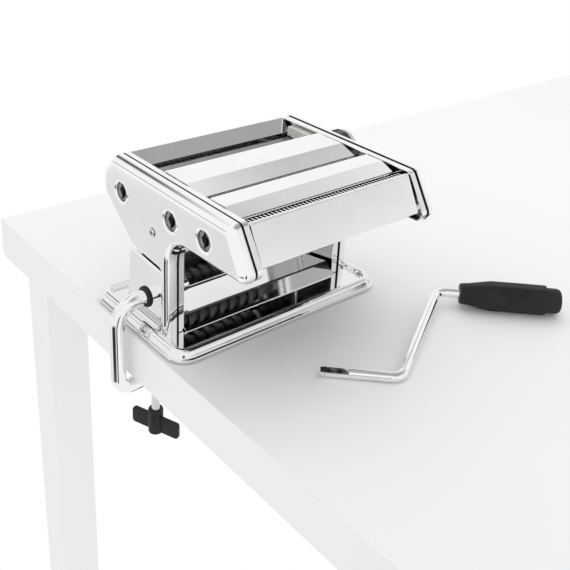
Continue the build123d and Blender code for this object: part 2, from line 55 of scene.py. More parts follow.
# Where the layers of a side housing lie, in millimetres from the middle
RIM_X = 90.0
WEB_X = 94.0
FRAME_X = 95.6
SEAL_X = 98.2
COVER_X = 109.0
LOWER_PANEL_X = 106.5
BASE_TOP = 7.0

# Roller centres in Y and Z
SMOOTH_REAR = (36.5, 120.5)
SMOOTH_FRONT = (8.5, 120.5)
WIDE_REAR = (-42.0, 123.0)
WIDE_FRONT = (-63.0, 123.0)
FINE_REAR = (-90.0, 125.5)
FINE_FRONT = (-111.0, 125.5)
COVER_SCREW = (-15.0, 102.0)

# Near-black block in the slot across each crank socket, painted shade where the slot is open: from and to in X,
# then half its width in Y and Z
SLOT_X = (-107.55, -104.6)
SLOT_HALF = (1.5, 6.9)

# Clamp: where its bar enters the panel and where its screw stands
CLAMP_Y = 1.5
CLAMP_Z = 30.0
SCREW_X = -97.5

# Rolled eyelet round a crank socket: depth below the cover's face, and the radius there
EYELET = [(0.25, 11.2), (1.0, 10.7), (1.15, 10.2), (0.6, 9.7), (0.2, 9.3), (0.35, 8.9), (1.0, 8.72), (4.0, 8.7)]

# Corners of the housing: Y, Z, the radius, and how much of the rolled edge the side before it has
WING_TOP = [(53.5, 150.5, 7), (-122.0, 150.5, 7), (-144.5, 114.5, 7), (-138.0, 106.5, 6),
            (-36.0, 104.0, 26, 0.8)]
WING_BACK = [(72.0, 109.0, 12), (71.0, 134.0, 10)]
LEG_SHARE = 0.55
COVER_CORNERS = WING_TOP + [
    (-36.0, BASE_TOP, 0.1, LEG_SHARE), (-25.5, BASE_TOP, 0.1, LEG_SHARE), (-25.5, 69.0, 3, LEG_SHARE),
    (27.0, 73.0, 7, LEG_SHARE)] + WING_BACK
FRAME_CORNERS = WING_TOP + [(-36.0, BASE_TOP, 0.1), (35.0, BASE_TOP, 0.1), (27.0, 73.0, 0.1)] + WING_BACK


# Swaps X and Z, so that what was turned about X stands upright
X_TO_Z = Matrix(((0, 0, 1, 0), (0, 1, 0, 0), (1, 0, 0, 0), (0, 0, 0, 1)))


# ---------------------------------------------------------------- mesh tools


def outline(corners, inset=0.0, steps=8):
    """Closed outline with rounded corners, moved inwards by inset or by each side's share of it."""
    count = len(corners)
    share = [corner[3] if len(corner) > 3 else 1.0 for corner in corners]
    area = sum(corners[i - 1][0] * corners[i][1] - corners[i][0] * corners[i - 1][1]
               for i in range(count))
    way = 1.0 if area > 0 else -1.0
    points = []
    for i, corner in enumerate(corners):
        here, radius = Vector(corner[:2]), corner[2]
        into = (here - Vector(corners[i - 1][:2])).normalized()
        out = (Vector(corners[(i + 1) % count][:2]) - here).normalized()
        normal_in = way * Vector((-into.y, into.x))
        normal_out = way * Vector((-out.y, out.x))
        cross = into.x * out.y - into.y * out.x
        convex = cross * way > 0
        step_in, step_out = inset * share[i], inset * share[(i + 1) % count]
        bend = max(radius - min(step_in, step_out), 0.05) if convex else radius + max(step_in, step_out)
        lean = normal_in.dot(normal_out)
        place = here + normal_in * ((step_in - lean * step_out) / (1.0 - lean * lean))
        place += normal_out * ((step_out - lean * step_in) / (1.0 - lean * lean))
        half = math.acos(max(-1.0, min(1.0, into.dot(out)))) / 2
        start = place - into * bend * math.tan(half)
        centre = start + (normal_in if convex else -normal_in) * bend
        sweep = math.copysign(2 * half, cross)
        for k in range(steps + 1):
            turn = Matrix.Rotation(sweep * k / steps, 2)
            points.append(centre + turn @ (start - centre))
    return points


def new_piece(name, bm, body, material, smooth_angle=35.0, replaces=()):
    """Turn a bmesh in millimetres into a finished piece that rides on its body."""
    bmesh.ops.remove_doubles(bm, verts=bm.verts, dist=0.001)
    bmesh.ops.recalc_face_normals(bm, faces=bm.faces)
    bmesh.ops.scale(bm, vec=(MM, MM, MM), verts=bm.verts)
    mesh = bpy.data.meshes.new(name)
    bm.to_mesh(mesh)
    bm.free()
    mesh.shade_smooth()
    mesh.set_sharp_from_angle(angle=math.radians(smooth_angle))
    piece = bpy.data.objects.new(name, mesh)
    bpy.context.scene.collection.objects.link(piece)
    mesh.materials.append(material)
    weights = piece.modifiers.new("even shading", "WEIGHTED_NORMAL")
    weights.keep_sharp = True
    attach(piece, body)
    if replaces:
        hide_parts(*replaces)
    return piece


def join_rings(bm, rings):
    """Quads between each ring of vertices and the next."""
    for a, b in zip(rings, rings[1:]):
        for i in range(len(a)):
            j = (i + 1) % len(a)
            bm.faces.new((a[i], a[j], b[j], b[i]))


def skin(bm, rings, first_cap=True, last_cap=True):
    """Quads between rings of equal length, with flat caps on the first and last."""
    made = [[bm.verts.new(p) for p in ring] for ring in rings]
    join_rings(bm, made)
    if first_cap:
        bm.faces.new(made[0])
    if last_cap:
        bm.faces.new(made[-1])
    return made


def holed_face(bm, outer, holes):
    """Flat face between an outer ring of vertices and the rings of its holes."""
    edges = []
    for ring in [outer] + holes:
        for i, vert in enumerate(ring):
            other = ring[(i + 1) % len(ring)]
            edge = bm.edges.get((vert, other)) or bm.edges.new((vert, other))
            edges.append(edge)
    bmesh.ops.triangle_fill(bm, use_beauty=True, use_dissolve=False, edges=edges)


def at_x(x, points):
    return [(x, p[0], p[1]) for p in points]


def circle(centre, radius, steps=40):
    return [(centre[0] + radius * math.cos(2 * math.pi * k / steps),
             centre[1] + radius * math.sin(2 * math.pi * k / steps)) for k in range(steps)]


def lathe(bm, profile, centre=(0.0, 0.0), steps=40):
    """Closed round form about an X axis. Profile: (x, radius); a radius of 0 closes it."""
    rings = [at_x(x, circle(centre, max(radius, 0.01), steps)) for x, radius in profile]
    skin(bm, rings)


def hollow_lathe(bm, profile, centre=(0.0, 0.0), steps=40):
    """Ring about an X axis whose closed section is given as (x, radius) points."""
    rings = [at_x(x, circle(centre, radius, steps)) for x, radius in profile]
    skin(bm, rings + [rings[0]], first_cap=False, last_cap=False)


def stand_up(bm, place):
    """Turn what was made about X so that its axis is vertical through place."""
    turn = Matrix(((0, 0, 1), (0, 1, 0), (-1, 0, 0))).to_4x4()
    bmesh.ops.transform(bm, matrix=Matrix.Translation(place) @ turn.inverted(), verts=bm.verts)


def soft_steps(x_from, radius_from, x_to, radius_to, steps=5):
    """Quarter round between two (x, radius) points, leaving the first along X."""
    points = []
    for k in range(steps + 1):
        a = math.pi / 2 * k / steps
        points.append((x_from + (x_to - x_from) * math.sin(a),
                       radius_to + (radius_from - radius_to) * math.cos(a)))
    return points


def bend_line(points, radius, steps=6):
    """Open line with its inner corners rounded; radius is one number or one for each corner."""
    line = [Vector(points[0])]
    radii = radius if isinstance(radius, (list, tuple)) else [radius] * (len(points) - 2)
    for before, here, after, radius in zip(points, points[1:], points[2:], radii):
        before, here, after = Vector(before), Vector(here), Vector(after)
        into = (here - before).normalized()
        out = (after - here).normalized()
        half = math.acos(max(-1.0, min(1.0, into.dot(out)))) / 2
        towards = (out - into).normalized()
        centre = here + towards * (radius / math.cos(half))
        for k in range(steps + 1):
            share = -half + 2 * half * k / steps
            along = (into + out).normalized()
            line.append(centre - towards * radius * math.cos(share) + along * radius * math.sin(share))
    line.append(Vector(points[-1]))
    return line


def sheet(bm, points, thickness, x_from, x_to, bend_r=1.5, side=1.0):
    """Folded sheet with its section across the machine; side 1 thickens to the left of the line."""
    line = bend_line(points, bend_r)
    inner = []
    for i, here in enumerate(line):
        before = line[max(i - 1, 0)]
        after = line[min(i + 1, len(line) - 1)]
        along = (after - before).normalized()
        inner.append(here + side * thickness * Vector((-along.y, along.x)))
    section = line + inner[::-1]
    skin(bm, [at_x(x_from, section), at_x(x_to, section)])


def rod(bm, path, radius, bend_r, steps=28, end_r=1.0, bend_steps=10, flat=None):
    """Round rod along a path with rounded bends and softened ends.

    flat is (length, height): over that length from its start the rod is milled level at that height.
    """
    line = bend_line(path, bend_r, bend_steps)
    first = (line[1] - line[0]).normalized()
    last = (line[-1] - line[-2]).normalized()
    side = first.orthogonal().normalized()
    rings = []
    along = first
    stations = [(line[0], first, radius - end_r),
                (line[0] + first * end_r * 0.3, first, radius - end_r * 0.3),
                (line[0] + first * end_r, first, radius)]
    if flat:
        stations += [(line[0] + first * length, first, radius) for length in (flat[0], flat[0] + 0.05)]
    for i in range(1, len(line) - 1):
        tangent = ((line[i] - line[i - 1]).normalized() + (line[i + 1] - line[i]).normalized()).normalized()
        stations.append((line[i], tangent, radius))
    stations += [(line[-1] - last * end_r, last, radius),
                 (line[-1] - last * end_r * 0.3, last, radius - end_r * 0.3),
                 (line[-1], last, radius - end_r)]
    for place, tangent, size in stations:
        side = (side - tangent * side.dot(tangent)).normalized()
        other = tangent.cross(side)
        turns = [2 * math.pi * k / steps for k in range(steps)]
        ring = [place + (side * math.cos(a) + other * math.sin(a)) * size for a in turns]
        if flat and (place - line[0]).length < flat[0] + 0.01:
            for p in ring:
                p.z = min(p.z, flat[1])
        rings.append(ring)
    skin(bm, rings)


def block(bm, low, high, edge=0.4):
    """Box between two corners with softened edges."""
    made = bmesh.ops.create_cube(bm, size=1.0)
    size = Vector(high) - Vector(low)
    bmesh.ops.scale(bm, vec=size, verts=made["verts"])
    bmesh.ops.translate(bm, vec=(Vector(high) + Vector(low)) / 2, verts=made["verts"])
    if edge:
        edges = list({e for v in made["verts"] for e in v.link_edges})
        bmesh.ops.bevel(bm, geom=edges, offset=edge, segments=2, profile=0.5, affect="EDGES")


# ---------------------------------------------------------------- materials


def start_material(name):
    material = bpy.data.materials.get(name)
    if material:
        return material, None, None, None
    material = bpy.data.materials.new(name)
    material.use_nodes = True
    nodes = material.node_tree.nodes
    links = material.node_tree.links
    return material, nodes, links, nodes["Principled BSDF"]


def noise(nodes, links, scale, stretch=(1, 1, 1), detail=4.0, rough=0.55):
    """Noise in the object's own coordinates, stretched along its axes."""
    place = nodes.new("ShaderNodeTexCoord")
    mapping = nodes.new("ShaderNodeMapping")
    mapping.inputs["Scale"].default_value = stretch
    texture = nodes.new("ShaderNodeTexNoise")
    texture.inputs["Scale"].default_value = scale
    texture.inputs["Detail"].default_value = detail
    texture.inputs["Roughness"].default_value = rough
    links.new(place.outputs["Object"], mapping.inputs["Vector"])
    links.new(mapping.outputs["Vector"], texture.inputs["Vector"])
    return texture.outputs["Fac"]


def ramp(nodes, links, source, low, high, from_share=0.35, to_share=0.65):
    """Value between low and high as a noise goes from one share to another."""
    node = nodes.new("ShaderNodeMapRange")
    node.inputs["From Min"].default_value = from_share
    node.inputs["From Max"].default_value = to_share
    node.inputs["To Min"].default_value = low
    node.inputs["To Max"].default_value = high
    links.new(source, node.inputs["Value"])
    return node.outputs["Result"]


def tint(nodes, links, source, dark, light):
    node = nodes.new("ShaderNodeMix")
    node.data_type = "RGBA"
    node.inputs["A"].default_value = (*dark, 1)
    node.inputs["B"].default_value = (*light, 1)
    links.new(source, node.inputs["Factor"])
    return node.outputs["Result"]


def bump(nodes, links, source, distance, strength, below=None):
    node = nodes.new("ShaderNodeBump")
    node.inputs["Distance"].default_value = distance
    node.inputs["Strength"].default_value = strength
    links.new(source, node.inputs["Height"])
    if below:
        links.new(below, node.inputs["Normal"])
    return node.outputs["Normal"]


def polished(name, light, dark, rough, wave, scratch=0.12):
    """Chromed metal: faint dents and waves, smudges in the gloss and fine scratches."""
    material, nodes, links, shader = start_material(name)
    if nodes is None:
        return material
    shader.inputs["Metallic"].default_value = 1.0
    smudge = noise(nodes, links, 34.0, detail=5.0)
    fine = noise(nodes, links, 300.0, stretch=(0.08, 1.0, 1.0), detail=2.0)
    links.new(tint(nodes, links, ramp(nodes, links, smudge, 0.0, 1.0), dark, light),
              shader.inputs["Base Color"])
    links.new(ramp(nodes, links, smudge, rough[0], rough[1]), shader.inputs["Roughness"])
    wide = noise(nodes, links, 9.0, detail=1.0)
    waves = bump(nodes, links, wide, wave, 0.6)
    links.new(bump(nodes, links, fine, 0.00001, scratch, waves), shader.inputs["Normal"])
    return material


def turned(name, colour, rough=0.28):
    """Metal turned on a lathe about X, with rings across the axis."""
    material, nodes, links, shader = start_material(name)
    if nodes is None:
        return material
    shader.inputs["Metallic"].default_value = 1.0
    rings = noise(nodes, links, 900.0, stretch=(1.0, 0.01, 0.01), detail=3.0)
    spots = noise(nodes, links, 60.0, detail=4.0)
    darker = tuple(0.82 * c for c in colour)
    links.new(tint(nodes, links, ramp(nodes, links, spots, 0.0, 1.0), darker, colour),
              shader.inputs["Base Color"])
    links.new(ramp(nodes, links, rings, rough * 0.8, rough * 1.25), shader.inputs["Roughness"])
    links.new(bump(nodes, links, rings, 0.00002, 0.3), shader.inputs["Normal"])
    return material


def moulded(name, colour, rough=0.42, grain=0.00003, wear=0.35, shine=0.5):
    """Moulded plastic or rubber with a fine grain and rubbed, slightly lighter patches."""
    material, nodes, links, shader = start_material(name)
    if nodes is None:
        return material
    shader.inputs["Specular IOR Level"].default_value = shine
    patches = noise(nodes, links, 45.0, detail=6.0, rough=0.6)
    pores = noise(nodes, links, 1400.0, detail=2.0)
    paler = tuple(min(1.0, c + 0.03 * wear + 0.25 * wear * c) for c in colour)
    links.new(tint(nodes, links, ramp(nodes, links, patches, 0.0, 1.0), colour, paler),
              shader.inputs["Base Color"])
    links.new(ramp(nodes, links, patches, rough * 0.85, rough * 1.15), shader.inputs["Roughness"])
    links.new(bump(nodes, links, pores, grain, 0.35), shader.inputs["Normal"])
    return material


def finishes():
    """The finishes of this machine, by name."""
    sizes = bpy.context.scene.pasta_machine
    plain = tuple(sizes.chrome_colour)
    return {
        "housing": polished("Chromed_housing", plain, tuple(0.96 * c for c in plain), (0.05, 0.10), 0.00012),
        "sheet": polished("Polished_sheet", plain, tuple(0.96 * c for c in plain), (0.035, 0.08), 0.0002, 0.12),
        "base": polished("Chromed_base", tuple(0.9 * c for c in plain), tuple(0.85 * c for c in plain),
                         (0.02, 0.05), 0.0006),
        "rod": polished("Chromed_rod", plain, tuple(0.92 * c for c in plain), (0.04, 0.09), 0.0001),
        "web": polished("Frame_web", (0.42, 0.42, 0.43), (0.36, 0.36, 0.37), (0.10, 0.18), 0.0002),
        "bright": polished("Bright_steel", (0.74, 0.74, 0.75), (0.66, 0.66, 0.67), (0.12, 0.22), 0.0001),
        "comb": polished("Comb_steel", (0.90, 0.90, 0.91), (0.84, 0.84, 0.85), (0.10, 0.2), 0.0001),
        "roller": turned("Turned_roller", (0.36, 0.36, 0.37)),
        # Painted shade: the cutter rollers are near-black so that they read as lying in shadow inside the
        # machine.
        "cutter": turned("Turned_cutter_painted_shade", (0.10, 0.10, 0.105), 0.4),
        "socket": turned("Socket_steel", (0.30, 0.30, 0.31), 0.3),
        "gear": turned("Gear_steel", (0.5, 0.5, 0.51), 0.34),
        # Near-black finish for bores, slots and screw recesses: painted shade in hollows.
        "bore": moulded("Recess_painted_shade", (0.003, 0.003, 0.003), 0.7, shine=0.1),
        "seal": moulded("Seal_black", (0.003, 0.003, 0.003), 0.65, shine=0.1),
        "rubber": moulded("Foot_rubber", (0.03, 0.03, 0.032), 0.7, 0.00006),
        "white": moulded("Guide_plastic", (0.72, 0.72, 0.68), 0.45),
        "grip": moulded("Grip_plastic", tuple(sizes.grip_colour), 0.5, 0.00002, shine=0.25),
        "tray": polished("Tray_sheet", plain, tuple(0.97 * c for c in plain), (0.04, 0.09), 0.0001, 0.08),
        "knob": moulded("Knob_plastic", (0.018, 0.018, 0.02), 0.34),
        "cap": moulded("Knob_cap", (0.5, 0.5, 0.51), 0.3),
    }


# ---------------------------------------------------------------- settings


class PASTA_PG_settings(bpy.types.PropertyGroup):
    """Sizes and colours that a user would change."""

    chrome_colour: FloatVectorProperty(
        name="Chrome", description="Colour of the chromed metal", subtype="COLOR", size=3, min=0.0, max=1.0,
        default=(0.93, 0.93, 0.94))
    grip_colour: FloatVectorProperty(
        name="Grip", description="Colour of the black grip and wing", subtype="COLOR", size=3, min=0.0, max=1.0,
        default=(0.010, 0.010, 0.011))
    edge_radius: FloatProperty(
        name="Cover edge", description="Radius of the covers' rolled edge, in millimetres",
        default=9.0, min=2.0, max=9.0)
    thread_pitch: FloatProperty(
        name="Clamp thread pitch", description="Pitch of the clamp screw's thread, in millimetres",
        default=1.25, min=0.8, max=2.0)
    table_colour: FloatVectorProperty(
        name="Table", description="Colour of the table top", subtype="COLOR", size=3, min=0.0, max=1.0,
        default=(0.90, 0.90, 0.90))
    lamp_power: FloatProperty(
        name="Lamps", description="Strength of the soft lamps", default=1.0, min=0.0, max=5.0)


# ---------------------------------------------------------------- housings


def cover(side, body_name, finish):
    """Pressed side cover with its rolled edge, eyelets and the hole on the knob side."""
    edge_r = bpy.context.scene.pasta_machine.edge_radius
    bm = bmesh.new()
    rings = [at_x(side * x, outline(COVER_CORNERS)) for x in (SEAL_X, COVER_X - edge_r)]
    for k in range(1, 9):
        a = math.pi / 2 * k / 8
        rings.append(at_x(side * (COVER_X - edge_r + edge_r * math.sin(a)),
                          outline(COVER_CORNERS, edge_r * (1 - math.cos(a)))))
    lowest = BASE_TOP + edge_r + 0.2
    rings = [[(p[0], p[1], BASE_TOP if p[2] < lowest else p[2]) for p in ring] for ring in rings]
    inner = at_x(side * SEAL_X, outline(COVER_CORNERS, 2.0))
    made = skin(bm, [inner] + rings, first_cap=False, last_cap=False)
    openings = [(c, 11.6) for c in (SMOOTH_REAR, WIDE_REAR, FINE_REAR)] if side < 0 else [(SMOOTH_FRONT, 6.2)]
    holes = []
    for centre, radius in openings:
        holes.append([bm.verts.new(p) for p in at_x(side * COVER_X, circle(centre, radius))])
    holed_face(bm, made[-1], holes)
    for (centre, radius), hole in zip(openings, holes):
        if side > 0:
            inner_ring = [bm.verts.new(p) for p in at_x(side * (COVER_X - 1.2), circle(centre, radius))]
            strips = [hole, inner_ring]
        else:
            strips = [hole]
            for depth, r in EYELET:
                strips.append([bm.verts.new(p) for p in at_x(-COVER_X + depth, circle(centre, r))])
        join_rings(bm, strips)
    return new_piece(f"{body_name}_cover_shell", bm, "frame", finish["housing"], 50.0,
                     (f"{body_name}_cover",))


def frame_shell(side, body_name, finish):
    """Inner frame with its turned rim and recessed web."""
    bm = bmesh.new()
    layers = [(FRAME_X, 0.6), (RIM_X + 0.8, 0.6), (RIM_X + 0.25, 0.75), (RIM_X, 1.3), (RIM_X, 1.9),
              (RIM_X + 0.25, 2.45), (RIM_X + 0.8, 2.6), (WEB_X, 2.6)]
    rings = []
    for x, inset in layers:
        ring = at_x(side * x, outline(FRAME_CORNERS, inset))
        rings.append([(p[0], p[1], max(p[2], BASE_TOP)) for p in ring])
    skin(bm, rings)
    caps = [face for face in bm.faces if len(face.verts) > 4]
    web = min(caps, key=lambda face: abs(face.calc_center_median().x - side * RIM_X))
    web.material_index = 1
    shell = new_piece(f"{body_name}_frame_shell", bm, "frame", finish["housing"], 50.0,
                      (f"{body_name}_frame",))
    shell.data.materials.append(finish["web"])
    return shell


def seal_strip(side, body_name, finish):
    """Black strip that fills the seam, a little lower than the metal on both sides."""
    bm = bmesh.new()
    rings = []
    for x, inset in [(FRAME_X, 2.2), (FRAME_X, 0.8), (FRAME_X + 0.4, 0.5), (SEAL_X - 0.4, 0.5),
                     (SEAL_X, 0.8), (SEAL_X, 2.2)]:
        rings.append([(p[0], p[1], max(p[2], BASE_TOP)) for p in at_x(side * x, outline(COVER_CORNERS, inset))])
    skin(bm, rings, first_cap=False, last_cap=False)
    return new_piece(f"{body_name}_seal_strip", bm, "frame", finish["seal"], 50.0,
                     (f"{body_name}_seal",))


def lower_panel(side, body_name, finish):
    """Mirror-bright panel behind the leg."""
    corners = [(-25.2, BASE_TOP, 0.1), (35.0, BASE_TOP, 0.1), (28.7, 69.3, 5), (-25.2, 65.5, 0.1)]
    bm = bmesh.new()
    rings = [at_x(side * FRAME_X, outline(corners))]
    for k in range(0, 6):
        a = math.pi / 2 * k / 5
        ring = outline(corners, 2.0 * (1 - math.cos(a)))
        x = side * (LOWER_PANEL_X - 2.0 + 2.0 * math.sin(a))
        rings.append([(x, min(p[0], 35.0) if p[0] > -24 else -25.2, BASE_TOP if p[1] < BASE_TOP + 2.2 else p[1])
                      for p in ring])
    made = skin(bm, rings, last_cap=side > 0)
    if side < 0:
        mouth = [[bm.verts.new(p) for p in at_x(x, circle((CLAMP_Y, CLAMP_Z), r))]
                 for x, r in ((-LOWER_PANEL_X, 8.6), (-LOWER_PANEL_X + 2.0, 8.6), (-LOWER_PANEL_X + 2.0, 0.1))]
        holed_face(bm, made[-1], [mouth[0]])
        join_rings(bm, mouth)
    return new_piece(f"{body_name}_lower_shell", bm, "frame", finish["sheet"], 50.0,
                     (f"{body_name}_lower_panel",))


class PASTA_OT_housings(bpy.types.Operator):
    """Side covers, seams, frames and lower panels"""

    bl_idname = "pasta.housings"
    bl_label = "Side housings"

    def execute(self, context):
        finish = finishes()
        for side, name in ((-1, "crank_side"), (1, "knob_side")):
            cover(side, name, finish)
            frame_shell(side, name, finish)
            seal_strip(side, name, finish)
            lower_panel(side, name, finish)
        return {"FINISHED"}


# ---------------------------------------------------------------- base


def rounded_plate(half_x, half_y, radius, inset, steps=8):
    corners = [(-half_x, -half_y, radius), (half_x, -half_y, radius),
               (half_x, half_y, radius), (-half_x, half_y, radius)]
    return outline(corners, inset, steps)


class PASTA_OT_base(bpy.types.Operator):
    """Pressed base with its hem and rolled rim"""

    bl_idname = "pasta.base"
    bl_label = "Base"

    def execute(self, context):
        finish = finishes()
        bm = bmesh.new()
        profile = [(14.0, 5.5), (5.0, 5.5), (4.5, 1.2), (4.1, 1.0), (0.9, 1.0), (0.3, 1.15), (0.0, 1.6),
                   (0.0, 3.3), (0.2, 3.9), (0.7, 4.3), (1.5, 4.4), (2.1, 4.6), (2.5, 5.2), (2.8, 6.4),
                   (3.3, 8.1), (4.2, 9.8), (5.4, 10.9), (6.8, 11.3), (8.9, 11.3), (9.9, 11.05),
                   (10.6, 10.4), (11.2, 8.4), (11.8, 7.4), (12.8, 7.0)]
        rings = []
        for inset, z in profile:
            rings.append([(p[0], p[1], z) for p in rounded_plate(122.0, 74.0, 19.0, inset)])
        skin(bm, rings)
        new_piece("base_pressing", bm, "frame", finish["base"], 50.0, ("base_pan",))
        bm = bmesh.new()
        for x in (-100.0, 100.0):
            for y in (-54.0, 54.0):
                foot = bmesh.new()
                lathe(foot, [(0.0, 7.6), (0.4, 8.6), (1.2, 9.0), (5.45, 9.0)])
                stand_up(foot, (x, y, 0.0))
                mesh = bpy.data.meshes.new("foot")
                foot.to_mesh(mesh)
                foot.free()
                bm.from_mesh(mesh)
                bpy.data.meshes.remove(mesh)
        new_piece("round_feet", bm, "frame", finish["rubber"], 40.0, ("rubber_feet",))
        return {"FINISHED"}


# ---------------------------------------------------------------- sheets


class PASTA_OT_sheets(bpy.types.Operator):
    """Roofs, panels and the pasta tray"""

    bl_idname = "pasta.sheets"
    bl_label = "Sheets"

    def execute(self, context):
        finish = finishes()
        right = 85.5
        pieces = [
            ("rear_hopper_sheet", "rear_panel",
             [(42.5, 137.0), (54.0, 149.4), (69.3, 134.0), (69.7, 110.4), (25.5, 75.0)],
             -RIM_X, RIM_X, -1.0, 1.2),
            ("rear_roof_sheet", "rear_roof", [(3.5, 138.0), (-5.5, 151.3), (-38.5, 151.3), (-57.0, 144.8)],
             -RIM_X + 0.05, right, 1.0, 1.2),
            ("front_roof_sheet", "front_roof", [(-72.0, 151.0), (-92.0, 151.3), (-106.0, 145.4)],
             -RIM_X + 0.05, right, 1.0, 1.2),
            ("front_panel_sheet", "front_panel",
             [(-121.6, 147.0), (-124.5, 149.4), (-140.8, 118.0), (-136.6, 114.6)],
             -RIM_X + 0.05, right, 1.0, 1.0),
        ]
        for label, node, points, x_from, x_to, side, bend_r in pieces:
            bm = bmesh.new()
            sheet(bm, points, 1.0, x_from, x_to, bend_r, side)
            new_piece(label, bm, "frame", finish["sheet"], 40.0, (node,))
        bm = bmesh.new()
        profile = [(23.2, 75.8), (23.6, 8.4), (-26.0, 17.4), (-39.4, 7.8), (-39.5, BASE_TOP)]
        sheet(bm, profile, 1.0, -RIM_X + 0.05, RIM_X - 0.05, (1.5, 4.0, 0.2))
        new_piece("tray_sheet", bm, "frame", finish["tray"], 40.0, ("pasta_tray",))
        return {"FINISHED"}


# ---------------------------------------------------------------- rollers


def disc_roller(bm, centre, first, pitch, count, width, steps):
    """Cutter roller: a core with ground discs, as one turned form."""
    profile = [(-89.0, 8.2), (-88.5, 8.7)]
    for k in range(count):
        start = first + k * pitch + 0.1
        end = start + width
        profile += [(start - 0.01, 8.7), (start, 11.7), (start + 0.25, 12.0),
                    (end - 0.25, 12.0), (end, 11.7), (end + 0.01, 8.7)]
    profile += [(88.5, 8.7), (89.0, 8.2)]
    lathe(bm, profile, centre, steps)


class PASTA_OT_rollers(bpy.types.Operator):
    """Smooth rollers, cutter rollers and crank sockets"""

    bl_idname = "pasta.rollers"
    bl_label = "Rollers"

    def execute(self, context):
        finish = finishes()
        for centre, name in ((SMOOTH_REAR, "rear"), (SMOOTH_FRONT, "front")):
            bm = bmesh.new()
            lathe(bm, [(-96.0, 5.0), (-89.1, 5.0), (-89.0, 13.2), (-88.4, 13.8),
                       (88.4, 13.8), (89.0, 13.2), (89.1, 5.0), (96.6, 5.0)], centre, 72)
            new_piece(f"rolling_{name}", bm, f"smooth_{name}", finish["roller"], 40.0,
                      (f"smooth_roller_{name}",))
        cutters = [("wide", "rear", WIDE_REAR, -84.5, 13.0, 13, 6.3, 48),
                   ("wide", "front", WIDE_FRONT, -78.0, 13.0, 13, 6.3, 48),
                   ("fine", "rear", FINE_REAR, -86.0, 4.0, 43, 1.8, 36),
                   ("fine", "front", FINE_FRONT, -84.0, 4.0, 43, 1.8, 36)]
        for kind, name, centre, first, pitch, count, width, steps in cutters:
            bm = bmesh.new()
            disc_roller(bm, centre, first, pitch, min(count, int((88.4 - first) / pitch)), width, steps)
            lathe(bm, [(89.0, 5.0), (96.6, 5.0)], centre, 32)
            lathe(bm, [(-96.0, 5.0), (-89.0, 5.0)], centre, 32)
            new_piece(f"{kind}_cutting_{name}", bm, f"{kind}_{name}", finish["cutter"], 40.0,
                      (f"{kind}_cutter_{name}",))
        for centre, kind in ((SMOOTH_REAR, "smooth"), (WIDE_REAR, "wide"), (FINE_REAR, "fine")):
            bm = bmesh.new()
            hollow_lathe(bm, [(-107.4, 5.2), (-107.5, 5.6), (-107.5, 7.7), (-107.2, 8.2), (-106.6, 8.3),
                              (-104.1, 8.3), (-104.0, 7.0), (-82.0, 7.0), (-82.0, 4.7),
                              (-106.9, 4.7)], centre, 48)
            new_piece(f"{kind}_crank_socket", bm, f"{kind}_rear", finish["socket"], 40.0,
                      (f"{kind}_socket",))
            # Near-black plug in each socket's bore and slot: painted shade filling the hollow.
            bm = bmesh.new()
            lathe(bm, [(-101.0, 4.65), (-90.0, 4.65)], centre, 32)
            low = (SLOT_X[0], centre[0] - SLOT_HALF[0], centre[1] - SLOT_HALF[1])
            high = (SLOT_X[1], centre[0] + SLOT_HALF[0], centre[1] + SLOT_HALF[1])
            block(bm, low, high, 0.0)
            new_piece(f"{kind}_socket_painted_shade", bm, f"{kind}_rear", finish["bore"], 40.0)
        return {"FINISHED"}


# ---------------------------------------------------------------- combs


def comb_sheet(bm, points, half_x, tooth_from, teeth):
    """Sheet to the tooth line, then one tooth at a time."""
    thickness = 0.8
    line = bend_line(points, 1.0) if len(points) > 2 else [Vector(p) for p in points]
    solid, toothed = [], []
    for a, b in zip(line, line[1:]):
        if (a.x - tooth_from) * (b.x - tooth_from) < 0:
            cut = a + (b - a) * ((tooth_from - a.x) / (b.x - a.x))
            solid += [a, cut]
            toothed += [cut]
        elif a.x < tooth_from:
            solid.append(a)
        else:
            toothed.append(a)
    toothed.append(line[-1])

    def section(part):
        inner = []
        for i, here in enumerate(part):
            along = (part[min(i + 1, len(part) - 1)] - part[max(i - 1, 0)]).normalized()
            inner.append(here + thickness * Vector((-along.y, along.x)))
        return list(part) + inner[::-1]

    skin(bm, [at_x(-half_x, section(solid)), at_x(half_x, section(solid))])
    for low, high in teeth:
        skin(bm, [at_x(low, section(toothed)), at_x(high, section(toothed))])


class PASTA_OT_combs(bpy.types.Operator):
    """Stripper combs over the cutters"""

    bl_idname = "pasta.combs"
    bl_label = "Combs"

    def execute(self, context):
        finish = finishes()
        fine = [(-85.6 + 4.0 * k, -84.4 + 4.0 * k) for k in range(43)]
        fine_back = [(a + 2.0, b + 2.0) for a, b in fine]
        wide = [(-81.25 - 2.85 + 13.0 * k, -81.25 + 2.85 + 13.0 * k) for k in range(13)]
        wide_back = [(a + 6.5, b + 6.5) for a, b in wide]
        for name, points, half_x, tooth_from, teeth in [
                ("fine_comb_front", [(-121.55, 147.05), (-113.5, 146.2), (-107.6, 136.6)], RIM_X, -119.0, fine),
                ("fine_comb_rear", [(-106.4, 143.75), (-93.8, 136.7)], WEB_X, -103.0, fine_back),
                ("wide_comb_front", [(-72.0, 149.9), (-59.6, 134.0)], RIM_X, -69.0, wide),
                ("wide_comb_rear", [(-56.6, 143.2), (-45.6, 133.7)], WEB_X, -54.0, wide_back)]:
            bm = bmesh.new()
            comb_sheet(bm, points, half_x - 0.05, tooth_from, teeth)
            new_piece(f"{name}_teeth", bm, "frame", finish["comb"], 35.0, (name,))
        return {"FINISHED"}


# ---------------------------------------------------------------- small parts


